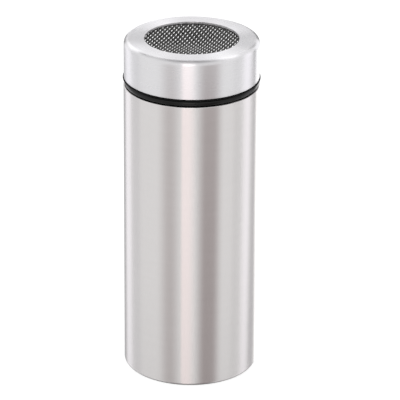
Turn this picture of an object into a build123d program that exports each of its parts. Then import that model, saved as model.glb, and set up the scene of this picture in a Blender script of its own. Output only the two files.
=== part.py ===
"""Powder shaker: a brushed steel tube with a screw-on steel lid that holds a wire sieve.

Lengths are millimetres and +Z is up. The origin is the centre of the foot, on the surface that the shaker
stands on. Every round piece is turned about the Z axis.
"""
import os
from math import floor, sqrt

from build123d import *

# Clearances
seat_gap = 0.05             # welded, glued or clamped seats
running_gap = 0.10          # between the lid and the neck and lip ring that it turns on

# Steel tube, its lower edge rolled inwards as a foot
tube_diameter = 55.0
tube_height = 123.1
tube_wall = 0.7
tube_rim_round = 0.3
foot_bend = 1.5             # outside radius of the roll
foot_width = 4.0            # from the outside of the tube to the inner edge of the foot

# Base pan, dropped into the tube onto its foot
base_sheet = 0.7
base_weld_height = 1.0      # straight edge of the pan, along the tube
base_border = 6.75          # flat ring of the pan, round its panel
base_panel_rise = 0.8
base_panel_slope = 2.0

# Black plastic collar, plugged into the mouth of the tube
band_height = 2.6           # ring that shows between the tube and the lid
band_setback = 0.3          # of that ring from the outside of the tube
band_round = 1.1
skirt_depth = 8.8           # below the rim of the tube
skirt_wall = 1.2
funnel_drop = 3.0           # from the rim of the tube to the wide end of the funnel
neck_wall = 2.6             # under the crest of the screw thread
neck_rim_round = 0.6

# Thin silicone lip ring on the collar, under the edge of the lid
lip_thickness = 0.5
lip_overhang = 0.4          # beyond the outside of the lid
lip_round_share = 0.4       # of its thickness

# Drawn steel lid with a round opening and a rolled hem
lid_setback = 0.1           # of the lid from the outside of the tube
lid_height = 16.2
lid_wall = 0.6
shoulder_round = 2.2
hem_width = 1.3
hem_height = 1.3
hem_round_share = 0.15      # of the width of the hem
top_border = 8.3            # steel ring of the top, round the opening
opening_lip_depth = 0.9     # of the edge that is turned down round the opening
opening_lip_round = 0.2

# Wire sieve, its edge clamped in a folded steel rim
wire_diameter = 0.32
wire_pitch = 1.46
wire_layer_gap = 0.03       # between the two layers of crossing wires
wire_end_gap = 0.4          # from the ends of the wires to the fold of the rim
weave_turn = 70.0           # degrees from +X to the wires of the upper layer
quarter_turn = 90.0         # degrees between the two layers, and from an upright wire to a lying one
rim_sheet = 0.3
rim_width = 3.6
rim_setback = 0.3           # from the turned-down edge of the opening
rim_fold_round = 0.25

# Black plastic insert that screws the lid onto the neck, and its gasket
insert_wall = 1.65
flange_thickness = 1.4      # clamps the sieve from below
flange_setback = 0.3        # from the inner edge of the sieve rim
gasket_thickness = 1.5
gasket_width = 2.7

# Radii that several pieces share
tube_radius = tube_diameter / 2
tube_bore = tube_radius - tube_wall
plug_radius = tube_bore - seat_gap
foot_inner_bend = foot_bend - tube_wall
lid_radius = tube_radius - lid_setback
lid_bore = lid_radius - lid_wall
insert_radius = lid_bore - seat_gap
insert_bore = insert_radius - insert_wall
neck_radius = insert_bore - running_gap
mouth_radius = neck_radius - neck_wall
opening_radius = lid_radius - top_border
rim_inner_radius = opening_radius + lid_wall + rim_setback
rim_outer_radius = rim_inner_radius + rim_width
cloth_radius = rim_outer_radius - rim_sheet - wire_end_gap

# Levels, from the foot up
band_top = tube_height + band_height
lip_top = band_top + lip_thickness
lid_bottom = lip_top + running_gap
lid_top = lid_bottom + lid_height
lid_ceiling = lid_top - lid_wall
rim_top = lid_ceiling - seat_gap
cloth_height = wire_diameter + wire_layer_gap + wire_diameter
rim_bottom = rim_top - rim_sheet - seat_gap - cloth_height - seat_gap - rim_sheet
lower_wire_level = rim_bottom + rim_sheet + seat_gap + wire_diameter / 2
upper_wire_level = lower_wire_level + wire_diameter + wire_layer_gap
flange_top = rim_bottom - seat_gap
flange_bottom = flange_top - flange_thickness
gasket_top = flange_bottom - seat_gap
gasket_bottom = gasket_top - gasket_thickness
neck_top = gasket_bottom - seat_gap


def turned(corners, rounds):
    """Solid turned about Z from an outline of (radius, height) corners, some of them rounded."""
    outline = Sketch() + make_face(Polyline(*corners, close=True))
    for corner, radius in rounds:
        vertex = outline.vertices().sort_by_distance((*corner, 0))[0]
        outline = fillet(vertex, radius)
    return revolve(Plane.XZ * outline, Axis.Z)


def steel_tube():
    """Open tube, from the inner edge of its foot round to its mouth."""
    foot_edge = tube_radius - foot_width
    foot_corner = (tube_radius, 0)
    rim_corner = (tube_radius, tube_height)
    inner_corner = (tube_bore, tube_wall)
    corners = [
        (foot_edge, 0),
        foot_corner,
        rim_corner,
        (tube_bore, tube_height),
        inner_corner,
        (foot_edge, tube_wall),
    ]
    rounds = [(foot_corner, foot_bend), (rim_corner, tube_rim_round), (inner_corner, foot_inner_bend)]
    return turned(corners, rounds)


def base_pan():
    """Shallow pan with an upturned edge and a raised panel that stiffens it."""
    low = tube_wall
    panel_foot = plug_radius - base_border
    panel_radius = panel_foot - base_panel_slope
    edge_top = low + foot_inner_bend + base_weld_height
    outer_corner = (plug_radius, low)
    corners = [
        (0, low + base_panel_rise),
        (panel_radius, low + base_panel_rise),
        (panel_foot, low),
        outer_corner,
        (plug_radius, edge_top),
        (plug_radius - base_sheet, edge_top),
        (plug_radius - base_sheet, low + base_sheet),
        (panel_foot, low + base_sheet),
        (panel_radius, low + base_panel_rise + base_sheet),
        (0, low + base_panel_rise + base_sheet),
    ]
    return turned(corners, [(outer_corner, foot_inner_bend)])


def neck_collar():
    """Plug skirt, visible band, funnel and screw neck in one moulding."""
    band_radius = tube_radius - band_setback
    skirt_bottom = tube_height - skirt_depth
    skirt_inner = plug_radius - skirt_wall
    band_corner = (band_radius, band_top)
    neck_corner = (neck_radius, neck_top)
    corners = [
        (skirt_inner, skirt_bottom),
        (plug_radius, skirt_bottom),
        (plug_radius, tube_height),
        (band_radius, tube_height),
        band_corner,
        (neck_radius, band_top),
        neck_corner,
        (mouth_radius, neck_top),
        (mouth_radius, band_top),
        (skirt_inner, tube_height - funnel_drop),
    ]
    return turned(corners, [(band_corner, band_round), (neck_corner, neck_rim_round)])


def lip_ring():
    """Flat silicone ring round the neck, its outer edge rounded."""
    edge = lid_radius + lip_overhang
    lower_corner = (edge, band_top)
    upper_corner = (edge, lip_top)
    corners = [
        (insert_bore, band_top),
        lower_corner,
        upper_corner,
        (insert_bore, lip_top),
    ]
    edge_round = lip_round_share * lip_thickness
    return turned(corners, [(lower_corner, edge_round), (upper_corner, edge_round)])


def lid_shell():
    """Drawn cap: turned-down opening, rounded shoulder, wall and inward hem."""
    hem_inner = lid_radius - hem_width
    hem_top = lid_bottom + hem_height
    lip_bottom = lid_top - opening_lip_depth
    lip_corner = (opening_radius, lid_top)
    shoulder = (lid_radius, lid_top)
    hem_outside = (lid_radius, lid_bottom)
    hem_inside = (hem_inner, lid_bottom)
    inner_shoulder = (lid_bore, lid_ceiling)
    corners = [
        lip_corner,
        shoulder,
        hem_outside,
        hem_inside,
        (hem_inner, hem_top),
        (lid_bore, hem_top),
        inner_shoulder,
        (opening_radius + lid_wall, lid_ceiling),
        (opening_radius + lid_wall, lip_bottom),
        (opening_radius, lip_bottom),
    ]
    hem_round = hem_round_share * hem_width
    rounds = [
        (lip_corner, opening_lip_round),
        (shoulder, shoulder_round),
        (hem_outside, hem_round),
        (hem_inside, hem_round),
        (inner_shoulder, shoulder_round - lid_wall),
    ]
    return turned(corners, rounds)


def lid_insert():
    """Moulded liner above the hem: screw bore, clamping flange and a rebate that centres the sieve rim."""
    low = lid_bottom + hem_height + seat_gap
    rebate = rim_outer_radius + seat_gap
    shoulder = (insert_radius, rim_top)
    corners = [
        (insert_bore, low),
        (insert_radius, low),
        shoulder,
        (rebate, rim_top),
        (rebate, flange_top),
        (rim_inner_radius + flange_setback, flange_top),
        (rim_inner_radius + flange_setback, flange_bottom),
        (insert_bore, flange_bottom),
    ]
    return turned(corners, [(shoulder, shoulder_round - lid_wall)])


def lid_gasket():
    """Flat washer under the flange, pressed on the rim of the neck."""
    outside = insert_bore - running_gap
    corners = [
        (outside - gasket_width, gasket_bottom),
        (outside, gasket_bottom),
        (outside, gasket_top),
        (outside - gasket_width, gasket_top),
    ]
    return turned(corners, [])


def sieve_rim():
    """Steel ring folded to a channel that opens inwards, over the edge of the wire cloth."""
    upper_fold = (rim_outer_radius, rim_top)
    lower_fold = (rim_outer_radius, rim_bottom)
    web = rim_outer_radius - rim_sheet
    corners = [
        (rim_inner_radius, rim_bottom),
        lower_fold,
        upper_fold,
        (rim_inner_radius, rim_top),
        (rim_inner_radius, rim_top - rim_sheet),
        (web, rim_top - rim_sheet),
        (web, rim_bottom + rim_sheet),
        (rim_inner_radius, rim_bottom + rim_sheet),
    ]
    return turned(corners, [(lower_fold, rim_fold_round), (upper_fold, rim_fold_round)])


def sieve_wires(level, turn):
    """One layer of parallel wires, each cut to its chord of the round cloth."""
    half_count = floor((cloth_radius - wire_diameter) / wire_pitch)
    wires = []
    for row in range(-half_count, half_count + 1):
        offset = row * wire_pitch
        chord = 2 * sqrt(cloth_radius**2 - offset**2)
        wire = Rot(Y=quarter_turn) * Cylinder(wire_diameter / 2, chord)
        wires.append(Rot(Z=turn) * Pos(0, offset, level) * wire)
    return Compound(children=wires)


pieces = {
    "body_tube": steel_tube(),
    "base_pan": base_pan(),
    "neck_collar": neck_collar(),
    "neck_lip_ring": lip_ring(),
    "lid_shell": lid_shell(),
    "lid_insert": lid_insert(),
    "lid_gasket": lid_gasket(),
    "sieve_rim": sieve_rim(),
    "sieve_upper_wires": sieve_wires(upper_wire_level, weave_turn),
    "sieve_lower_wires": sieve_wires(lower_wire_level, weave_turn + quarter_turn),
}

os.makedirs("parts", exist_ok=True)
for name, solid in pieces.items():
    export_step(solid, f"parts/{name}.step")
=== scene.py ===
"""Looks of the powder shaker: brushed steel tube and lid, black screw collar and woven wire sieve.

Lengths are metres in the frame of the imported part: +Z up, the origin at the centre of the foot. Every round
piece is a surface turned about Z, and the camera stands on the -Y side.
"""

import logging
import math
from dataclasses import dataclass, field
from enum import Enum
from functools import lru_cache

import bmesh
import bpy
import numpy as np
from mathutils import Matrix, Vector


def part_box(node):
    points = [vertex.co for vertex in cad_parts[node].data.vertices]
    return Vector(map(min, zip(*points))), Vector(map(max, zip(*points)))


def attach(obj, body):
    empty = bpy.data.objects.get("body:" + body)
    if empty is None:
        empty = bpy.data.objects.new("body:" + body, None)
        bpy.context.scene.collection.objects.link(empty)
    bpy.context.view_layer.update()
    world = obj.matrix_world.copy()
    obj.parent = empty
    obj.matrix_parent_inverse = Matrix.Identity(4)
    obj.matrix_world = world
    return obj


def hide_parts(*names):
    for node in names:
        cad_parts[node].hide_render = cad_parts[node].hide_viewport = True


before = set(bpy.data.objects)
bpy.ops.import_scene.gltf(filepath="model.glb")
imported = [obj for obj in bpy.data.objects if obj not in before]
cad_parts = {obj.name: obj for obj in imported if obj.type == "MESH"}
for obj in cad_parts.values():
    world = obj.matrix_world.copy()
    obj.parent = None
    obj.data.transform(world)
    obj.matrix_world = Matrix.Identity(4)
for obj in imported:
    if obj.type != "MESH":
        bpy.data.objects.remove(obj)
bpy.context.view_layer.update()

Array = np.ndarray
Object = bpy.types.Object
Mesh = bpy.types.Mesh
Material = bpy.types.Material
Node = bpy.types.Node
Socket = bpy.types.NodeSocket
Value = Socket | float | tuple[float, ...]
Color = tuple[float, float, float]

MM = 0.001
FULL_TURN = 2.0 * math.pi
QUARTER_TURN = 0.5 * math.pi
MERGE_DISTANCE = 1e-7
SHARP_ANGLE = math.radians(35.0)
# Painted light on the wires: lit on the warp and on the crests, painted shade on the weft and in the hollows
PAINTED_LIGHT = "painted_light"           # attribute of the wires
CARD_COLOR = "card"         # attribute of the studio's cards
LOG = logging.getLogger("powder_shaker")


class Body(Enum):
    """Rigid bodies of the part that pieces ride on."""

    TUBE = "body"
    GASKET = "gasket"
    LID = "lid"


class Slot(Enum):
    """Material slots of the record."""

    BODY_STEEL = "body_steel"
    LID_STEEL = "lid_steel"
    BASE_STEEL = "base_steel"
    WIRE = "sieve_wire"
    PLASTIC = "black_plastic"
    SILICONE = "black_silicone"


# Node graphs and finishes


class NodeGraph:
    """Short hand for building a node tree in code."""

    MIX_SHARE, MIX_FIRST, MIX_LAST, MIX_RESULT = 0, 6, 7, 2     # places of the colour sockets on a Mix node

    def __init__(self, tree: bpy.types.NodeTree) -> None:
        """Starts from an empty tree."""
        self.tree = tree
        tree.nodes.clear()

    def add(self, kind: str, inputs: dict[str | int, Value] | None = None, **settings: str) -> Node:
        """Adds a node, sets its properties and feeds its inputs.

        Args:
            kind: Blender's identifier of the node.
            inputs: sockets or plain values by the name or place of the input that takes them.
            **settings: properties of the node by name.

        Returns:
            The new node.
        """
        node = self.tree.nodes.new(kind)
        for name, setting in settings.items():
            setattr(node, name, setting)
        for key, value in (inputs or {}).items():
            if isinstance(value, Socket):
                self.tree.links.new(value, node.inputs[key])
            else:
                node.inputs[key].default_value = value
        return node

    def math(self, operation: str, *values: Value) -> Socket:
        """Result of a Math node on sockets or numbers."""
        return self.add("ShaderNodeMath", dict(enumerate(values)), operation=operation).outputs[0]

    def ramp(self, value: Value, low: float, high: float) -> Socket:
        """Share, 0 to 1, of the way of a value from low to high."""
        inputs = {"Value": value, "From Min": low, "From Max": high}
        return self.add("ShaderNodeMapRange", inputs).outputs["Result"]

    def between(self, share: Value, first: float, last: float) -> Socket:
        """Number that a share, 0 to 1, picks between two ends."""
        inputs = {"Value": share, "To Min": first, "To Max": last}
        return self.add("ShaderNodeMapRange", inputs).outputs["Result"]

    def mix(self, share: Value, first: Color, last: Color) -> Socket:
        """Colour that a share, 0 to 1, picks between two colours."""
        inputs = {self.MIX_SHARE: share, self.MIX_FIRST: (*first, 1.0), self.MIX_LAST: (*last, 1.0)}
        return self.add("ShaderNodeMix", inputs, data_type="RGBA").outputs[self.MIX_RESULT]

    def place(self) -> Socket:
        """Object coordinates of the shaded point."""
        return self.add("ShaderNodeTexCoord").outputs["Object"]

    def vector(self, x: Value, y: Value, z: Value) -> Socket:
        """Vector from three sockets or numbers."""
        return self.add("ShaderNodeCombineXYZ", {"X": x, "Y": y, "Z": z}).outputs[0]

    def parts(self, vector: Socket) -> tuple[Socket, ...]:
        """The x, y and z of a vector."""
        return tuple(self.add("ShaderNodeSeparateXYZ", {"Vector": vector}).outputs)

    def noise(self, vector: Socket, scale: float, detail: float) -> Socket:
        """Noise, 0 to 1, over a vector."""
        inputs = {"Vector": vector, "Scale": scale, "Detail": detail}
        return self.add("ShaderNodeTexNoise", inputs).outputs["Fac"]

    def bump(self, height: Socket, depth: float, strength: float) -> Socket:
        """Normal of a bumped surface, with the depth of its bumps in metres."""
        inputs = {"Height": height, "Distance": depth, "Strength": strength}
        return self.add("ShaderNodeBump", inputs).outputs[0]

    def blend(self, share: Value, first: Node, last: Node) -> Node:
        """Shader that a share, 0 to 1, picks between two shaders."""
        return self.add("ShaderNodeMixShader", {0: share, 1: first.outputs[0], 2: last.outputs[0]})

    def show(self, shader: Node) -> None:
        """Puts a shader on the material's output."""
        self.add("ShaderNodeOutputMaterial", {"Surface": shader.outputs[0]})

    def surface(self, inputs: dict[str, Value]) -> None:
        """Puts a Principled shader with these inputs on the material's output."""
        self.show(self.add("ShaderNodeBsdfPrincipled", inputs))


def new_material(name: str) -> tuple[Material, NodeGraph]:
    """Material with an empty node tree.

    Args:
        name: name of the material.

    Returns:
        The material and the graph of its nodes.
    """
    material = bpy.data.materials.new(name)
    material.use_nodes = True
    return material, NodeGraph(material.node_tree)


@dataclass(frozen=True)
class Finish:
    """Base of all finishes."""

    name: str

    def material(self) -> Material:
        """Builds the finish, which each kind of finish does in its own way."""
        raise NotImplementedError(self.name)


@dataclass(frozen=True)
class EvenFinish(Finish):
    """Base of the finishes of one colour and roughness, which swing a little with a pattern."""

    color: Color
    roughness: float
    roughness_swing: float
    shade_swing: float

    def swung(self, graph: NodeGraph, pattern: Socket) -> dict[str, Value]:
        """Shade and roughness that follow a pattern.

        Args:
            graph: graph of the material.
            pattern: socket of the pattern, 0 to 1.

        Returns:
            The shader's inputs by name.
        """
        low = tuple(c * (1.0 - self.shade_swing) for c in self.color)
        high = tuple(min(1.0, c * (1.0 + self.shade_swing)) for c in self.color)
        glossy, dull = self.roughness - self.roughness_swing, self.roughness + self.roughness_swing
        return {
            "Base Color": graph.mix(pattern, low, high),
            "Roughness": graph.between(pattern, glossy, dull),
        }


@dataclass(frozen=True)
class BrushedSteel(EvenFinish):
    """Satin steel with fine brush lines that run round the Z axis, in broader bands."""

    roughness_swing: float = 0.03
    shade_swing: float = 0.05
    anisotropy: float = 1.0
    across_lines: float = 0.25      # of a turn, from along the lines
    line_length: float = 14.0 * MM
    line_spacing: float = 0.22 * MM
    line_detail: float = 3.0
    line_share: float = 0.7         # of the lines in the pattern, the rest being the bands
    line_depth: float = 0.006 * MM
    line_strength: float = 0.25
    band_spacing: float = 1.6 * MM
    band_detail: float = 2.0

    def material(self) -> Material:
        """Builds the finish: brush lines shade, roughen and bump a metal that blurs across them.

        Returns:
            The material.
        """
        material, graph = new_material(self.name)
        x, y, _ = graph.parts(graph.place())
        x, y = (graph.math("MULTIPLY", part, 1.0 / self.line_length) for part in (x, y))
        _, along_outline, _ = graph.parts(graph.add("ShaderNodeTexCoord").outputs["UV"])
        layers = []
        for spacing, detail in ((self.line_spacing, self.line_detail), (self.band_spacing, self.band_detail)):
            across = graph.math("MULTIPLY", along_outline, 1.0 / spacing)
            layers.append(graph.noise(graph.vector(x, y, across), 1.0, detail))
        lines, bands = layers
        line_part = graph.math("MULTIPLY", lines, self.line_share)
        band_part = graph.math("MULTIPLY", bands, 1.0 - self.line_share)
        round_z = graph.add("ShaderNodeTangent", direction_type="RADIAL", axis="Z")
        graph.surface({
            **self.swung(graph, graph.math("ADD", line_part, band_part)),
            "Metallic": 1.0,
            "Anisotropic": self.anisotropy,
            "Anisotropic Rotation": self.across_lines,
            "Tangent": round_z.outputs[0],
            "Normal": graph.bump(lines, self.line_depth, self.line_strength),
        })
        return material


@dataclass(frozen=True)
class PlainMetal(EvenFinish):
    """Rolled sheet, with a faint cloudy unevenness."""

    roughness_swing: float = 0.06
    shade_swing: float = 0.06
    cloud_size: float = 2.0 * MM
    cloud_detail: float = 3.0

    def material(self) -> Material:
        """Builds the finish: a metal whose shade and gloss vary in soft clouds.

        Returns:
            The material.
        """
        material, graph = new_material(self.name)
        cloud = graph.noise(graph.place(), 1.0 / self.cloud_size, self.cloud_detail)
        graph.surface({**self.swung(graph, cloud), "Metallic": 1.0})
        return material


@dataclass(frozen=True)
class PaintedLightWire(Finish):
    """Drawn wire with painted light: lit where its share of painted light is full, painted shade where it has
    none.
    """

    # Colour and roughness where the wire has its painted light, and where it has painted shade instead
    lit_color: Color
    shaded_color: Color
    lit_roughness: float
    shaded_roughness: float
    cloud_size: float = 0.6 * MM
    cloud_detail: float = 3.0
    cloud_share: float = 0.05

    def material(self) -> Material:
        """Builds the finish: the wires' painted light, 0 to 1, and soft clouds set shade and gloss, a low
        share being painted shade.

        Returns:
            The material.
        """
        material, graph = new_material(self.name)
        cloud = graph.noise(graph.place(), 1.0 / self.cloud_size, self.cloud_detail)
        uneven = graph.between(cloud, -self.cloud_share, self.cloud_share)
        # Painted light from the attribute: near 1 lit, near 0 painted shade, stirred a little by the clouds
        painted_light = graph.add("ShaderNodeAttribute", attribute_name=PAINTED_LIGHT).outputs["Fac"]
        bright = graph.ramp(graph.math("ADD", painted_light, uneven), 0.0, 1.0)
        graph.surface({
            "Base Color": graph.mix(bright, self.shaded_color, self.lit_color),
            "Roughness": graph.between(bright, self.shaded_roughness, self.lit_roughness),
            "Metallic": 1.0,
        })
        return material


@dataclass(frozen=True)
class Moulded(EvenFinish):
    """Moulded plastic or silicone: a dark body with a fine grain."""

    roughness_swing: float = 0.05
    shade_swing: float = 0.15
    specular: float = 0.5
    grain_size: float = 0.25 * MM
    grain_detail: float = 2.0
    grain_depth: float = 0.004 * MM
    grain_strength: float = 0.2

    def material(self) -> Material:
        """Builds the finish: grain shades, roughens and bumps a plain dielectric.

        Returns:
            The material.
        """
        material, graph = new_material(self.name)
        grain = graph.noise(graph.place(), 1.0 / self.grain_size, self.grain_detail)
        graph.surface({
            **self.swung(graph, grain),
            "Specular IOR Level": self.specular,
            "Normal": graph.bump(grain, self.grain_depth, self.grain_strength),
        })
        return material


def grey(level: float) -> Color:
    """Neutral colour of a level."""
    return (level, level, level)


BODY_STEEL = BrushedSteel("brushed_tube", (0.675, 0.655, 0.651), roughness=0.20)
LID_STEEL = BrushedSteel("brushed_lid", (0.75, 0.742, 0.756), roughness=0.28)
BASE_STEEL = PlainMetal("rolled_sheet", (0.66, 0.655, 0.65), roughness=0.38)
# Painted light on the wires: near-white on the warp and its crests, near-black painted shade on the weft and
# in the hollows
WIRE_STEEL = PaintedLightWire(
    "drawn_wire", grey(0.98), (0.06, 0.058, 0.056), lit_roughness=0.15, shaded_roughness=0.40
)
BLACK_PLASTIC = Moulded("glossy_moulding", grey(0.003), roughness=0.10, specular=0.24)
BLACK_SILICONE = Moulded("soft_moulding", grey(0.004), roughness=0.55, specular=0.08, grain_size=0.12 * MM)


@lru_cache(maxsize=None)
def shared_material(finish: Finish) -> Material:
    """Material of a finish, made once."""
    return finish.material()


# Surfaces


@dataclass(frozen=True)
class Corner:
    """Corner of a turned outline: its radius, its height and how far it is rounded."""

    r: float
    z: float
    round: float = 0.0


def arc_points(
    before: Array, corner: Array, after: Array, radius: float, steps: int
) -> Array:
    """Points of the arc that rounds a corner.

    The arc touches both edges at radius / tan(half the corner's angle) from the corner, and its centre lies
    on the bisector at radius / sin(half the angle).

    Args:
        before: corner before this one.
        corner: corner to round.
        after: corner after this one.
        radius: radius of the arc.
        steps: number of chords in the arc.

    Returns:
        Array of (steps + 1, 2) points, from the first edge to the second.
    """
    back = (before - corner) / np.linalg.norm(before - corner)
    ahead = (after - corner) / np.linalg.norm(after - corner)
    half = 0.5 * math.acos(float(np.clip(back @ ahead, -1.0, 1.0)))
    bisector = (back + ahead) / np.linalg.norm(back + ahead)
    centre = corner + bisector * radius / math.sin(half)
    start = corner + back * radius / math.tan(half) - centre
    end = corner + ahead * radius / math.tan(half) - centre
    share = np.linspace(0.0, 1.0, steps + 1)[:, None]
    sweep = math.pi - 2.0 * half
    return centre + (np.sin((1.0 - share) * sweep) * start + np.sin(share * sweep) * end) / math.sin(sweep)


def outline_points(corners: list[Corner], arc_steps: int) -> Array:
    """Closed outline as an array of (radius, height) points, with its rounded corners as arcs.

    Args:
        corners: corners in order round the section.
        arc_steps: chords in each rounded corner.

    Returns:
        Array of (n, 2) points, without a repeat of the first.
    """
    places = np.array([(c.r, c.z) for c in corners])
    runs = []
    for index, corner in enumerate(corners):
        here = places[index]
        if corner.round:
            after = places[(index + 1) % len(corners)]
            runs.append(arc_points(places[index - 1], here, after, corner.round, arc_steps))
        else:
            runs.append(here[None, :])
    return np.concatenate(runs)


def turn_angles(count: int) -> Array:
    """Evenly spaced angles of a full turn."""
    return np.arange(count) * FULL_TURN / count


def turned_grid(outline: Array, columns: int) -> tuple[Array, Array]:
    """Points of an outline carried round the Z axis.

    A point at radius r and height z goes to (r cos a, r sin a, z) for each angle a.

    Args:
        outline: (rows, 2) radii and heights, or (rows, columns, 2) where they vary with the angle.
        columns: number of angles in a full turn.

    Returns:
        The (rows, columns, 3) points, and the distance along the outline, (rows + 1) values.
    """
    angle = turn_angles(columns)
    rows = outline if outline.ndim == 3 else np.repeat(outline[:, None, :], columns, axis=1)
    radius, height = rows[..., 0], rows[..., 1]
    points = np.stack([radius * np.cos(angle), radius * np.sin(angle), height], -1)
    first = rows[:, 0, :]
    steps = np.linalg.norm(np.roll(first, -1, axis=0) - first, axis=1)
    return points, np.concatenate([[0.0], np.cumsum(steps)])


def round_tubes(lines: Array, slope: Array, radius: float, sides: int) -> Array:
    """Points of round tubes along lines, each of which runs in an upright plane along x.

    The ring about a point of a line is radius * (cos a * lean + sin a * (0, 1, 0)), where lean is the line's
    normal in its plane, (-slope, 0, 1) / sqrt(1 + slope^2). The first and last ring of a tube shrink to a
    point.

    Args:
        lines: (tubes, samples, 3) points of the lines.
        slope: (tubes, samples) rise of the lines over their run.
        radius: radius of the tubes.
        sides: number of points in a ring.

    Returns:
        Array of (tubes, samples, sides, 3) points.
    """
    angle = turn_angles(sides)[:, None]
    thick = np.full(lines.shape[1], radius)
    thick[[0, -1]] = 0.0
    upright = np.stack([-slope, np.zeros_like(slope), np.ones_like(slope)], -1)
    lean = upright / np.sqrt(1.0 + slope**2)[..., None]
    ring = np.cos(angle) * lean[:, :, None, :] + np.sin(angle) * np.array([0.0, 1.0, 0.0])
    return lines[:, :, None, :] + thick[:, None, None] * ring


def quad_mesh(name: str, points: Array, quads: Array) -> Mesh:
    """Smooth mesh of quads.

    Args:
        name: name of the mesh.
        points: array whose last axis holds x, y and z.
        quads: array whose last axis holds the numbers of a face's four points.

    Returns:
        The new mesh.
    """
    corners = quads.astype(np.int32).ravel()
    starts = np.arange(0, len(corners), quads.shape[-1], dtype=np.int32)
    mesh = bpy.data.meshes.new(name)
    mesh.vertices.add(points[..., 0].size)
    mesh.vertices.foreach_set("co", points.astype(np.float32).ravel())
    mesh.loops.add(len(corners))
    mesh.loops.foreach_set("vertex_index", corners)
    mesh.polygons.add(len(starts))
    mesh.polygons.foreach_set("loop_start", starts)
    mesh.polygons.foreach_set("use_smooth", np.ones(len(starts), dtype=bool))
    mesh.update(calc_edges=True)
    return mesh


def grid_mesh(name: str, points: Array, along: Array) -> Mesh:
    """Mesh over a grid of points that closes on itself in both directions.

    Args:
        name: name of the mesh.
        points: array of (rows, columns, 3) points.
        along: distance along the rows' direction, (rows + 1) values, for the second UV coordinate.

    Returns:
        The new mesh, with a UV map of (share of a turn, distance along the outline).
    """
    rows, columns = points.shape[:2]
    row, column = np.meshgrid(np.arange(rows), np.arange(columns), indexing="ij")
    next_row, next_column = (row + 1) % rows, (column + 1) % columns
    corners = [(row, column), (row, next_column), (next_row, next_column), (next_row, column)]
    mesh = quad_mesh(name, points, np.stack([r * columns + c for r, c in corners], -1))
    share = np.stack([column, column + 1, column + 1, column], -1) / columns
    length = np.stack([along[row], along[row], along[row + 1], along[row + 1]], -1)
    uv = mesh.uv_layers.new(name="turned")
    uv.data.foreach_set("uv", np.stack([share, length], -1).astype(np.float32).ravel())
    return mesh


def tubes_mesh(name: str, points: Array) -> Mesh:
    """Mesh of many tubes of the same make.

    Args:
        name: name of the mesh.
        points: array of (tubes, samples, sides, 3) points.

    Returns:
        The new mesh, its tubes open at their first and last ring.
    """
    tubes, samples, sides = points.shape[:3]
    tube, ring, side = np.meshgrid(np.arange(tubes), np.arange(samples - 1), np.arange(sides), indexing="ij")
    next_side = (side + 1) % sides
    corners = [(ring, side), (ring, next_side), (ring + 1, next_side), (ring + 1, side)]
    return quad_mesh(name, points, np.stack([(tube * samples + r) * sides + c for r, c in corners], -1))


def close_poles(mesh: Mesh) -> None:
    """Merges the points that meet on an axis or at the end of a tube, and turns all faces outwards.

    Args:
        mesh: mesh to close.
    """
    work = bmesh.new()
    work.from_mesh(mesh)
    bmesh.ops.remove_doubles(work, verts=work.verts, dist=MERGE_DISTANCE)
    bmesh.ops.recalc_face_normals(work, faces=work.faces)
    work.to_mesh(mesh)
    work.free()


def add_object(name: str, data: bpy.types.ID) -> Object:
    """New object at the origin of the scene.

    Args:
        name: name of the object.
        data: its mesh or camera.

    Returns:
        The object.
    """
    added = bpy.data.objects.new(name, data)
    bpy.context.scene.collection.objects.link(added)
    return added


@dataclass
class Piece:
    """One visible piece: which CAD node it stands for, what carries it and how it is finished."""

    name: str
    node: str
    body: Body
    slot: Slot
    finish: Finish

    def place(self, mesh: Mesh) -> Object:
        """Puts a mesh into the scene as this piece.

        Args:
            mesh: mesh in its final place.

        Returns:
            The object that rides on its body.
        """
        close_poles(mesh)
        mesh.set_sharp_from_angle(angle=SHARP_ANGLE)
        mesh.materials.append(shared_material(self.finish))
        piece = add_object(self.name, mesh)
        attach(piece, self.body.value)
        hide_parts(self.node)
        return piece

    def turn(self, outline: Array, columns: int) -> Object:
        """Carries an outline, as turned_grid takes it, round the Z axis and places it as this piece."""
        points, along = turned_grid(outline, columns)
        return self.place(grid_mesh(self.name, points, along))


@dataclass(frozen=True)
class ScrewThread:
    """Right-hand screw thread with ridges of trapezium section that run out at both ends."""

    lead: float = 6.0 * MM
    starts: int = 2
    depth: float = 1.0 * MM
    crest_width: float = 0.7 * MM
    root_width: float = 1.5 * MM
    run_out: float = 0.08           # in turns

    def ridge(self, angle: Array, height: Array, base: float, turns: float) -> Array:
        """Share of the ridge's depth at each point of a cylinder.

        The middle of a ridge climbs by the lead in each turn from the base. The share falls from 1 on the
        crest to 0 at the root with the distance from that line, and along the first and last stretch of the
        ridge.

        Args:
            angle: (columns,) angles about Z.
            height: (rows,) heights.
            base: height where the ridges start.
            turns: length of a ridge in turns.

        Returns:
            Array of (rows, columns) shares.
        """
        share = np.zeros((len(height), len(angle)))
        flank = 0.5 * (self.root_width - self.crest_width)
        for start in range(self.starts):
            first = np.mod(angle / FULL_TURN - start / self.starts, 1.0)
            for lap in range(math.ceil(turns)):
                turn = first + lap
                away = np.abs(height[:, None] - base - self.lead * turn[None, :])
                wall = np.clip((0.5 * self.root_width - away) / flank, 0.0, 1.0)
                ends = np.clip(np.minimum(turn, turns - turn) / self.run_out, 0.0, 1.0)
                share = np.maximum(share, wall * ends[None, :])
        return share

    def raised(
        self, outline: Array, wall: slice, columns: int, base: float, turns: float, depth: float
    ) -> Array:
        """Outline at each angle, its wall moved out by depth times the share of the ridge.

        Args:
            outline: (rows, 2) radii and heights.
            wall: rows of the wall that has the thread.
            columns: number of angles in a full turn.
            base: height where the ridges start.
            turns: length of a ridge in turns.
            depth: height of a crest over the wall, negative where it points to the axis.

        Returns:
            Array of (rows, columns, 2) radii and heights.
        """
        grid = np.repeat(outline[:, None, :], columns, axis=1)
        grid[wall, :, 0] += depth * self.ridge(turn_angles(columns), outline[wall, 1], base, turns)
        return grid


# Sub-assemblies


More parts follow.
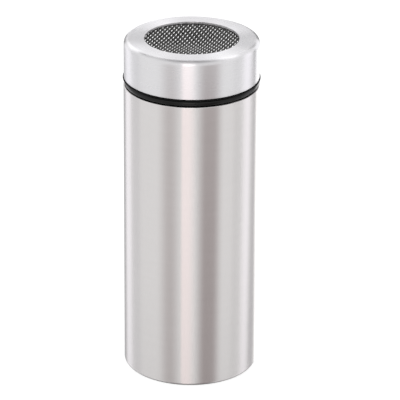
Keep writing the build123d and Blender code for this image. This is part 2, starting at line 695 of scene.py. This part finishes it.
@dataclass
class SteelTube:
    """Brushed tube with a rolled foot, and the pan that closes it."""

    wall: float = 0.7 * MM
    rim_round: float = 0.3 * MM
    inner_rim_round: float = 0.12 * MM
    foot_bend: float = 1.5 * MM
    foot_width: float = 4.0 * MM
    foot_edge_round: float = 0.15 * MM
    pan_sheet: float = 0.7 * MM
    pan_border: float = 6.75 * MM
    panel_rise: float = 0.8 * MM
    panel_slope: float = 2.0 * MM
    pan_edge_round: float = 0.15 * MM
    panel_round: float = 0.9 * MM
    columns: int = 256
    arc_steps: int = 10

    def build(self) -> list[Object]:
        """Makes the tube and the pan."""
        return [self.tube(), self.pan()]

    def tube(self) -> Object:
        """Tube from the inner edge of its foot round to its mouth.

        Returns:
            The tube.
        """
        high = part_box("body_tube")[1]
        radius, top = high.x, high.z
        bore, foot_edge = radius - self.wall, radius - self.foot_width
        corners = [
            Corner(foot_edge, 0.0, self.foot_edge_round),
            Corner(radius, 0.0, self.foot_bend),
            Corner(radius, top, self.rim_round),
            Corner(bore, top, self.inner_rim_round),
            Corner(bore, self.wall, self.foot_bend - self.wall),
            Corner(foot_edge, self.wall, self.foot_edge_round),
        ]
        piece = Piece("steel_tube", "body_tube", Body.TUBE, Slot.BODY_STEEL, BODY_STEEL)
        return piece.turn(outline_points(corners, self.arc_steps), self.columns)

    def pan(self) -> Object:
        """Pan with an upturned edge and a raised round panel.

        Returns:
            The pan.
        """
        low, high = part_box("base_pan")
        radius, bottom, edge_top = high.x, low.z, high.z
        panel_foot = radius - self.pan_border
        panel = panel_foot - self.panel_slope
        floor = bottom + self.pan_sheet
        corners = [
            Corner(0.0, bottom + self.panel_rise),
            Corner(panel, bottom + self.panel_rise, self.panel_round),
            Corner(panel_foot, bottom, self.panel_round),
            Corner(radius, bottom, self.foot_bend - self.wall),
            Corner(radius, edge_top, self.pan_edge_round),
            Corner(radius - self.pan_sheet, edge_top, self.pan_edge_round),
            Corner(radius - self.pan_sheet, floor, self.pan_edge_round),
            Corner(panel_foot, floor, self.panel_round),
            Corner(panel, floor + self.panel_rise, self.panel_round),
            Corner(0.0, floor + self.panel_rise),
        ]
        piece = Piece("base_pan_dressed", "base_pan", Body.TUBE, Slot.BASE_STEEL, BASE_STEEL)
        return piece.turn(outline_points(corners, self.arc_steps), self.columns)


@dataclass
class ScrewCollar:
    """Black collar in the mouth of the tube, with its screw neck and the lip ring on it."""

    thread: ScrewThread = field(default_factory=ScrewThread)
    thread_start: float = 2.0 * MM
    thread_turns: float = 1.35
    skirt_wall: float = 1.2 * MM
    band_round: float = 1.1 * MM
    lower_band_round: float = 1.1 * MM
    funnel_drop: float = 3.0 * MM
    funnel_round: float = 0.7 * MM
    neck_wall: float = 2.6 * MM
    root_round: float = 0.3 * MM
    edge_round: float = 0.15 * MM
    lip_round: float = 0.2 * MM
    neck_rows: int = 110
    columns: int = 288
    arc_steps: int = 8

    def build(self) -> list[Object]:
        """Makes the collar and the lip ring."""
        return [self.collar(), self.lip_ring()]

    def collar(self) -> Object:
        """Skirt, band, funnel and neck, with the thread raised on the neck.

        Returns:
            The collar.
        """
        low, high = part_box("neck_collar")
        ring_low, ring_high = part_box("neck_lip_ring")
        tube_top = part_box("body_tube")[1].z
        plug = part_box("base_pan")[1].x
        band_top, neck_top = ring_low.z, high.z
        band, neck = high.x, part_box("lid_gasket")[1].x
        root = neck - self.thread.depth
        mouth, skirt_inner = neck - self.neck_wall, plug - self.skirt_wall
        corners = [
            Corner(skirt_inner, tube_top - self.funnel_drop, self.funnel_round),
            Corner(skirt_inner, low.z, self.edge_round),
            Corner(plug, low.z, self.edge_round),
            Corner(plug, tube_top),
            Corner(band, tube_top, self.lower_band_round),
            Corner(band, band_top, self.band_round),
            Corner(root, band_top, self.root_round),
            Corner(root, neck_top, self.edge_round),
            Corner(mouth, neck_top, self.edge_round),
            Corner(mouth, band_top, self.funnel_round),
        ]
        outline = outline_points(corners, self.arc_steps)
        on_neck = np.isclose(outline[:, 0], root) & (outline[:, 1] > band_top) & (outline[:, 1] < neck_top)
        first, last = np.flatnonzero(on_neck)[[0, -1]]
        wall = np.linspace(outline[first], outline[last], self.neck_rows)
        outline = np.concatenate([outline[:first], wall, outline[last + 1:]])
        rows = slice(first, first + self.neck_rows)
        base = ring_high.z + self.thread_start
        grid = self.thread.raised(outline, rows, self.columns, base, self.thread_turns, self.thread.depth)
        piece = Piece("screw_collar", "neck_collar", Body.TUBE, Slot.PLASTIC, BLACK_PLASTIC)
        return piece.turn(grid, self.columns)

    def lip_ring(self) -> Object:
        """Flat silicone ring with a rounded outer edge.

        Returns:
            The ring.
        """
        low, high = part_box("neck_lip_ring")
        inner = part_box("lid_gasket")[1].x
        corners = [
            Corner(inner, low.z),
            Corner(high.x, low.z, self.lip_round),
            Corner(high.x, high.z, self.lip_round),
            Corner(inner, high.z),
        ]
        piece = Piece("lip_ring", "neck_lip_ring", Body.TUBE, Slot.SILICONE, BLACK_SILICONE)
        return piece.turn(outline_points(corners, self.arc_steps), self.columns)


@dataclass
class WireSieve:
    """Wire cloth in plain weave, and the folded steel rim that holds its edge."""

    rim_sheet: float = 0.3 * MM
    rim_width: float = 3.6 * MM
    rim_fold_round: float = 0.25 * MM
    edge_round: float = 0.12 * MM
    wire_diameter: float = 0.32 * MM
    wire_pitch: float = 1.46 * MM
    wire_end_gap: float = 0.4 * MM
    weave_turn: float = math.radians(70.0)
    cloth_sag: float = 1.5 * MM
    sag_power: int = 3
    # Shares of painted light in the hollows and on the crests: the warp lit almost all over, the weft given
    # painted shade
    warp_painted_light: tuple[float, float] = (0.9, 1.0)
    weft_painted_light: tuple[float, float] = (0.04, 0.14)
    wire_sides: int = 8
    wire_samples: int = 200
    columns: int = 288
    arc_steps: int = 10

    def build(self) -> list[Object]:
        """Makes the rim and the two sets of wires.

        Returns:
            The three pieces.
        """
        weft_turn = self.weave_turn + QUARTER_TURN
        return [
            self.rim(),
            self.wires("sieve_warp", "sieve_upper_wires", self.weave_turn, 1.0, self.warp_painted_light),
            self.wires("sieve_weft", "sieve_lower_wires", weft_turn, -1.0, self.weft_painted_light),
        ]

    def rim(self) -> Object:
        """Folded channel over the edge of the wire cloth.

        Returns:
            The rim.
        """
        low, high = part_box("sieve_rim")
        inner, web = high.x - self.rim_width, high.x - self.rim_sheet
        corners = [
            Corner(inner, low.z, self.edge_round),
            Corner(high.x, low.z, self.rim_fold_round),
            Corner(high.x, high.z, self.rim_fold_round),
            Corner(inner, high.z, self.edge_round),
            Corner(inner, high.z - self.rim_sheet, self.edge_round),
            Corner(web, high.z - self.rim_sheet),
            Corner(web, low.z + self.rim_sheet),
            Corner(inner, low.z + self.rim_sheet, self.edge_round),
        ]
        piece = Piece("sieve_ring", "sieve_rim", Body.LID, Slot.BASE_STEEL, BASE_STEEL)
        return piece.turn(outline_points(corners, self.arc_steps), self.columns)

    def wires(
        self, name: str, node: str, turn: float, side: float, painted_light: tuple[float, float]
    ) -> Object:
        """One set of wires of the weave, as round tubes along waves.

        Wire i runs along s at the offset i times the pitch, and its height is
        level + side * (-1)^i * swing * cos(pi s / pitch), so that it passes over and under the crossing wires
        in turn. The level of the cloth is its middle less sag * (1 - (r / opening)^2)^power at the distance r
        from the centre. Each tube ends in a point inside the rim.

        Args:
            name: name of the piece.
            node: CAD node that the set stands for.
            turn: angle of the wires about Z.
            side: 1 or -1, which of the two sets is on top at the crossing in the centre.
            painted_light: shares of painted light in the hollows of the weave and on its crests; the crests
                get more, and the hollows painted shade.

        Returns:
            The piece.
        """
        bottom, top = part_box("sieve_lower_wires")[0].z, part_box("sieve_upper_wires")[1].z
        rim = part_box("sieve_rim")[1].x
        cloth, opening = rim - self.rim_sheet - self.wire_end_gap, rim - self.rim_width
        radius = 0.5 * self.wire_diameter
        swing = 0.5 * (top - bottom) - radius
        half_count = math.floor((cloth - self.wire_diameter) / self.wire_pitch)
        row = np.arange(-half_count, half_count + 1)
        offset = (row * self.wire_pitch)[:, None]
        s = np.sqrt(cloth**2 - offset**2) * np.linspace(-1.0, 1.0, self.wire_samples)
        inside = np.clip(1.0 - (s**2 + offset**2) / opening**2, 0.0, 1.0)
        level = 0.5 * (bottom + top) - self.cloth_sag * inside**self.sag_power
        level_slope = 2.0 * self.sag_power * self.cloth_sag * s / opening**2 * inside ** (self.sag_power - 1)
        wave = math.pi / self.wire_pitch
        sign = side * np.where(row % 2 == 0, 1.0, -1.0)[:, None]
        height = level + sign * swing * np.cos(wave * s)
        slope = level_slope - sign * swing * wave * np.sin(wave * s)
        lines = np.stack([s, np.broadcast_to(offset, s.shape), height], -1)
        points = round_tubes(lines, slope, radius, self.wire_sides)
        # Painted light: the higher a point of a wire stands, the lighter it is, so the hollows of the weave
        # get painted shade
        crest = 0.5 + 0.5 * (points[..., 2] - level[..., None]) / (swing + radius)
        share = painted_light[0] + (painted_light[1] - painted_light[0]) * crest
        cosine, sine = math.cos(turn), math.sin(turn)
        about_z = np.array([[cosine, sine, 0.0], [-sine, cosine, 0.0], [0.0, 0.0, 1.0]])
        mesh = tubes_mesh(name, points @ about_z)
        values = mesh.attributes.new(PAINTED_LIGHT, "FLOAT", "POINT").data
        values.foreach_set("value", share.astype(np.float32).ravel())
        return Piece(name, node, Body.LID, Slot.WIRE, WIRE_STEEL).place(mesh)


@dataclass
class SieveLid:
    """Steel lid with its screw insert, its gasket and its sieve."""

    sieve: WireSieve = field(default_factory=WireSieve)
    thread: ScrewThread = field(default_factory=ScrewThread)
    thread_start: float = 3.5 * MM
    thread_turns: float = 1.2
    wall: float = 0.6 * MM
    shoulder_round: float = 2.2 * MM
    hem_width: float = 1.3 * MM
    hem_height: float = 1.3 * MM
    hem_round: float = 0.195 * MM
    top_border: float = 8.3 * MM
    lip_depth: float = 0.9 * MM
    lip_round: float = 0.08 * MM
    edge_round: float = 0.12 * MM
    insert_wall: float = 1.65 * MM
    flange_thickness: float = 1.4 * MM
    flange_setback: float = 0.3 * MM
    seat_gap: float = 0.05 * MM
    running_gap: float = 0.10 * MM
    gasket_width: float = 2.7 * MM
    gasket_round: float = 0.25 * MM
    bore_rows: int = 110
    columns: int = 288
    arc_steps: int = 10

    def build(self) -> list[Object]:
        """Makes the shell, the insert, the gasket and the sieve."""
        return [self.shell(), self.insert(), self.gasket(), *self.sieve.build()]

    def shell(self) -> Object:
        """Drawn cap: turned-down opening, rounded shoulder, wall and inward hem.

        Returns:
            The shell.
        """
        low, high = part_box("lid_shell")
        radius, bottom, top = high.x, low.z, high.z
        bore, ceiling = radius - self.wall, top - self.wall
        opening = radius - self.top_border
        hem_inner, hem_top = radius - self.hem_width, bottom + self.hem_height
        corners = [
            Corner(opening, top, self.lip_round),
            Corner(radius, top, self.shoulder_round),
            Corner(radius, bottom, self.hem_round),
            Corner(hem_inner, bottom, self.hem_round),
            Corner(hem_inner, hem_top, self.edge_round),
            Corner(bore, hem_top),
            Corner(bore, ceiling, self.shoulder_round - self.wall),
            Corner(opening + self.wall, ceiling),
            Corner(opening + self.wall, top - self.lip_depth, self.edge_round),
            Corner(opening, top - self.lip_depth, self.edge_round),
        ]
        piece = Piece("lid_cap", "lid_shell", Body.LID, Slot.LID_STEEL, LID_STEEL)
        return piece.turn(outline_points(corners, self.arc_steps), self.columns)

    def insert(self) -> Object:
        """Liner with a clamping flange, and the thread raised inwards in its bore.

        Returns:
            The insert.
        """
        low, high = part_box("lid_insert")
        rim_low, rim_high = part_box("sieve_rim")
        radius, bottom, top = high.x, low.z, high.z
        bore = radius - self.insert_wall
        flange_top = rim_low.z - self.seat_gap
        flange_bottom = flange_top - self.flange_thickness
        flange_inner = rim_high.x - self.sieve.rim_width + self.flange_setback
        rebate = rim_high.x + self.seat_gap
        corners = [
            Corner(bore, bottom, self.edge_round),
            Corner(radius, bottom, self.edge_round),
            Corner(radius, top, self.shoulder_round - self.wall),
            Corner(rebate, top, self.edge_round),
            Corner(rebate, flange_top),
            Corner(flange_inner, flange_top, self.edge_round),
            Corner(flange_inner, flange_bottom, self.edge_round),
            Corner(bore, flange_bottom, self.edge_round),
        ]
        outline = outline_points(corners, self.arc_steps)
        rows = slice(len(outline), None)
        wall = np.linspace(outline[-1], outline[0], self.bore_rows + 1)[1:-1]
        outline = np.concatenate([outline, wall])
        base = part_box("neck_lip_ring")[1].z + self.thread_start
        inwards = self.running_gap - self.thread.depth
        grid = self.thread.raised(outline, rows, self.columns, base, self.thread_turns, inwards)
        piece = Piece("screw_insert", "lid_insert", Body.LID, Slot.PLASTIC, BLACK_PLASTIC)
        return piece.turn(grid, self.columns)

    def gasket(self) -> Object:
        """Flat washer with softened edges.

        Returns:
            The washer.
        """
        low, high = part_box("lid_gasket")
        inner = high.x - self.gasket_width
        corners = [
            Corner(inner, low.z, self.gasket_round),
            Corner(high.x, low.z, self.gasket_round),
            Corner(high.x, high.z, self.gasket_round),
            Corner(inner, high.z, self.gasket_round),
        ]
        piece = Piece("lid_washer", "lid_gasket", Body.GASKET, Slot.SILICONE, BLACK_SILICONE)
        return piece.turn(outline_points(corners, self.arc_steps), self.columns)


# Studio


def smooth_step(share: Array) -> Array:
    """Smooth rise s * s * (3 - 2 s) of a share s held between 0 and 1."""
    held = np.clip(share, 0.0, 1.0)
    return held * held * (3.0 - 2.0 * held)


@dataclass(frozen=True)
class Card:
    """Lit or grey card of the studio, a patch of a sphere about the shaker that only its gloss shows.

    Angles are in degrees: azimuth from the camera's side, positive to the camera's right, and elevation above
    the horizon. The fades are how far the card takes to reach its full level from its left, right, lower and
    upper edge.
    """

    name: str
    azimuth: tuple[float, float]
    elevation: tuple[float, float]
    color: Color
    fades: tuple[float, float, float, float]
    columns: int = 64
    rows: int = 32

    def mesh(self, radius: float) -> Mesh:
        """Patch of the sphere, with the card's colour and its share of cover at each point.

        A point at azimuth a and elevation e lies at radius * (cos e sin a, -cos e cos a, sin e). The share
        rises from 0 to 1 along a smooth step within each fade.

        Args:
            radius: radius of the sphere.

        Returns:
            The mesh, with its colour attribute.
        """
        azimuth, elevation = np.meshgrid(
            np.linspace(*self.azimuth, self.columns), np.linspace(*self.elevation, self.rows)
        )
        a, e = np.radians(azimuth), np.radians(elevation)
        points = radius * np.stack([np.cos(e) * np.sin(a), -np.cos(e) * np.cos(a), np.sin(e)], -1)
        inside = (
            azimuth - self.azimuth[0],
            self.azimuth[1] - azimuth,
            elevation - self.elevation[0],
            self.elevation[1] - elevation,
        )
        steps = [smooth_step(depth / fade) for depth, fade in zip(inside, self.fades) if fade]
        share = np.prod(steps, axis=0)
        rgba = np.concatenate([np.broadcast_to(self.color, points.shape), share[..., None]], -1)
        index = np.arange(self.rows * self.columns).reshape(self.rows, self.columns)
        quads = np.stack([index[:-1, :-1], index[:-1, 1:], index[1:, 1:], index[1:, :-1]], -1)
        mesh = quad_mesh(self.name, points, quads)
        layer = mesh.color_attributes.new(CARD_COLOR, "FLOAT_COLOR", "POINT")
        layer.data.foreach_set("color", rgba.astype(np.float32).ravel())
        return mesh


ALL_ROUND = (-180.0, 180.0)
LOWEST = -88.0

# The first card stands nearest, and covers those after it where they overlap
CARDS = (
    Card("under_flag", ALL_ROUND, (LOWEST, -60.0), grey(0.12), (0.0, 0.0, 0.0, 14.0)),
    Card("right_small_flag", (121.0, 134.0), (-12.0, 7.0), grey(0.20), (4.0, 4.0, 4.0, 4.0)),
    Card("softbox_core", (-16.5, 10.0), (4.0, 38.0), (2.3, 2.22, 2.22), (2.0, 10.0, 6.0, 8.0)),
    Card("front_softbox", (-16.6, 11.0), (LOWEST, 40.0), (1.24, 1.135, 1.125), (1.0, 18.0, 0.0, 10.0)),
    Card("front_flag", (4.0, 58.0), (LOWEST, 24.0), (0.46, 0.41, 0.405), (22.0, 20.0, 0.0, 50.0)),
    Card("left_flag", (-62.0, -14.0), (LOWEST, 24.0), (0.66, 0.625, 0.62), (24.0, 22.0, 0.0, 50.0)),
    Card("right_side_flag", (70.0, 98.0), (LOWEST, 30.0), grey(0.9), (10.0, 8.0, 0.0, 8.0)),
    Card("right_softbox", (90.0, 122.0), (LOWEST, 30.0), (1.30, 1.28, 1.32), (18.0, 10.0, 0.0, 8.0)),
    Card("right_flag", (120.0, 140.0), (LOWEST, -12.0), (0.66, 0.65, 0.67), (8.0, 6.0, 0.0, 10.0)),
    Card("right_low_flag", (134.0, 154.0), (LOWEST, -22.0), (0.72, 0.71, 0.72), (5.0, 6.0, 0.0, 3.0)),
    Card("right_edge_softbox", (138.0, 178.0), (LOWEST, -8.0), grey(1.6), (5.0, 10.0, 0.0, 10.0)),
    Card("left_side_flag", (-126.0, -92.0), (LOWEST, 30.0), (0.88, 0.88, 0.89), (10.0, 10.0, 0.0, 8.0)),
    Card("left_edge_flag", (-178.0, -144.0), (LOWEST, -8.0), (0.58, 0.58, 0.59), (6.0, 6.0, 0.0, 8.0)),
    Card("left_softbox", (-152.0, -117.0), (LOWEST, 2.0), (1.26, 1.25, 1.29), (8.0, 12.0, 0.0, 8.0)),
    Card("back_mid_flag", (167.0, 193.0), (12.0, 26.0), (0.68, 0.68, 0.69), (6.0, 6.0, 4.0, 4.0)),
    Card("left_low_flag", (-172.0, -146.0), (-8.0, 12.0), grey(0.15), (6.0, 6.0, 4.0, 4.0)),
    Card("back_low_flag", (158.0, 179.0), (-10.0, 15.0), grey(0.06), (4.0, 3.0, 4.0, 3.0)),
    Card("back_right_flag", (146.0, 170.0), (21.0, 37.0), grey(0.30), (6.0, 6.0, 4.0, 6.0)),
    Card("left_high_flag", (-152.0, -108.0), (41.0, 60.0), grey(0.40), (8.0, 8.0, 5.0, 6.0)),
    Card("back_left_softbox", (-172.0, -128.0), (19.0, 46.0), (1.6, 1.6, 1.62), (8.0, 8.0, 8.0, 8.0)),
    Card("back_right_softbox", (124.0, 160.0), (-8.0, 24.0), (1.3, 1.3, 1.32), (8.0, 6.0, 6.0, 6.0)),
    Card("back_low_softbox", (160.0, 204.0), (-10.0, 18.0), (1.5, 1.5, 1.52), (10.0, 10.0, 8.0, 6.0)),
    Card("back_high_softbox", (164.0, 204.0), (26.0, 52.0), (1.8, 1.8, 1.82), (10.0, 10.0, 6.0, 8.0)),
    Card("right_high_softbox", (104.0, 172.0), (44.0, 70.0), (1.8, 1.8, 1.82), (10.0, 14.0, 10.0, 8.0)),
    Card("ceiling_gap", ALL_ROUND, (44.0, 90.0), (0.25, 0.24, 0.25), (0.0, 0.0, 40.0, 0.0)),
)


@dataclass
class Studio:
    """White studio: a pale floor, cards all round and the camera of the photograph."""

    white: Color = grey(1.0)
    fill_light: Color = grey(0.9)
    card_radius: float = 3.0
    card_step: float = 0.05
    floor_radius: float = 2.5
    floor_rings: int = 24
    floor_ring_power: int = 3
    floor_columns: int = 96
    floor_color: Color = grey(0.40)
    floor_glow: float = 0.78
    foot_shine: tuple[float, float] = (27.0 * MM, 27.9 * MM)
    faint_shine: float = 0.12
    faint_reach: float = 150.0 * MM
    camera_distance: float = 1.2123
    camera_elevation: float = math.radians(26.443)
    camera_pitch: float = math.radians(23.331)
    camera_yaw: float = math.radians(-0.196)
    camera_roll: float = math.radians(0.399)
    clip_range: tuple[float, float] = (0.01, 100.0)
    focal_pixels: float = 2878.6
    picture_pixels: float = 400.0
    sensor_width: float = 36.0

    def build(self) -> None:
        """Makes the light, the cards, the floor and the camera."""
        bpy.context.scene.view_settings.view_transform = "Standard"
        self.light()
        material = self.card_material()
        for order, card in enumerate(CARDS):
            self.stand(card, material, self.card_radius + order * self.card_step)
        self.floor()
        self.camera()

    def light(self) -> None:
        """Even light from all sides, with a white background for the camera and for gloss."""
        world = bpy.data.worlds.new("studio")
        bpy.context.scene.world = world
        world.use_nodes = True
        graph = NodeGraph(world.node_tree)
        path = graph.add("ShaderNodeLightPath").outputs
        seen = graph.math("MAXIMUM", path["Is Camera Ray"], path["Is Glossy Ray"])
        seen = graph.math("MAXIMUM", seen, path["Is Transmission Ray"])
        color = graph.mix(seen, self.fill_light, self.white)
        background = graph.add("ShaderNodeBackground", {"Color": color})
        graph.add("ShaderNodeOutputWorld", {"Surface": background.outputs[0]})

    def card_material(self) -> Material:
        """Glow of the colour in each card's attribute, clear where its share falls to nothing.

        Returns:
            The material of all cards.
        """
        material, graph = new_material("studio_card")
        card = graph.add("ShaderNodeAttribute", attribute_name=CARD_COLOR).outputs
        glow = graph.add("ShaderNodeEmission", {"Color": card["Color"]})
        clear = graph.add("ShaderNodeBsdfTransparent")
        graph.show(graph.blend(card["Alpha"], clear, glow))
        return material

    def stand(self, card: Card, material: Material, radius: float) -> None:
        """Puts a card up, where only gloss shows it.

        Args:
            card: card to put up.
            material: material of the cards.
            radius: distance of the card from the foot.
        """
        mesh = card.mesh(radius)
        mesh.materials.append(material)
        stand = add_object(card.name, mesh)
        stand.visible_camera = False
        stand.visible_diffuse = False
        stand.visible_shadow = False

    def floor_material(self) -> Material:
        """White that keeps shadows; gloss shows the floor close to the foot, and faintly further out.

        Returns:
            The material of the floor.
        """
        material, graph = new_material("floor_white")
        x, y, _ = graph.parts(graph.place())
        squares = [graph.math("MULTIPLY", part, part) for part in (x, y)]
        reach = graph.math("SQRT", graph.math("ADD", *squares))
        diffuse = graph.add("ShaderNodeBsdfDiffuse", {"Color": (*self.floor_color, 1.0)})
        glow = graph.add("ShaderNodeEmission", {"Strength": self.floor_glow})
        lit = graph.add("ShaderNodeAddShader", {0: diffuse.outputs[0], 1: glow.outputs[0]})
        clear = graph.add("ShaderNodeBsdfTransparent")
        far = graph.ramp(reach, self.foot_shine[1], self.faint_reach)
        faint = graph.between(far, 1.0 - self.faint_shine, 1.0)
        share = graph.math("MULTIPLY", graph.ramp(reach, *self.foot_shine), faint)
        in_gloss = graph.add("ShaderNodeLightPath").outputs["Is Glossy Ray"]
        graph.show(graph.blend(in_gloss, lit, graph.blend(share, diffuse, clear)))
        return material

    def floor(self) -> None:
        """Round pale floor, its rings closer together near the foot."""
        rings = np.linspace(0.0, 1.0, self.floor_rings) ** self.floor_ring_power * self.floor_radius
        radius, angle = np.meshgrid(rings, turn_angles(self.floor_columns), indexing="ij")
        flat = np.stack([radius * np.cos(angle), radius * np.sin(angle), np.zeros_like(radius)], -1)
        mesh = tubes_mesh("floor", flat[None, ::-1])
        close_poles(mesh)
        mesh.materials.append(self.floor_material())
        add_object("floor", mesh)

    def camera(self) -> None:
        """Camera at the photograph's place, turn and focal length."""
        data = bpy.data.cameras.new("photo_camera")
        data.sensor_width = self.sensor_width
        data.lens = self.focal_pixels * self.sensor_width / self.picture_pixels
        data.clip_start, data.clip_end = self.clip_range
        turned = (
            Matrix.Rotation(self.camera_yaw, 4, "Z")
            @ Matrix.Rotation(QUARTER_TURN - self.camera_pitch, 4, "X")
            @ Matrix.Rotation(self.camera_roll, 4, "Z")
        )
        back, up = math.cos(self.camera_elevation), math.sin(self.camera_elevation)
        camera = add_object("photo_camera", data)
        camera.matrix_world = Matrix.Translation(self.camera_distance * Vector((0.0, -back, up))) @ turned
        bpy.context.scene.camera = camera


def main() -> None:
    """Builds the shaker and the studio."""
    logging.basicConfig(level=logging.INFO, format="%(message)s")
    for assembly in (SteelTube(), ScrewCollar(), SieveLid()):
        for piece in assembly.build():
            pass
    Studio().build()


if __name__ == "__main__":
    main()
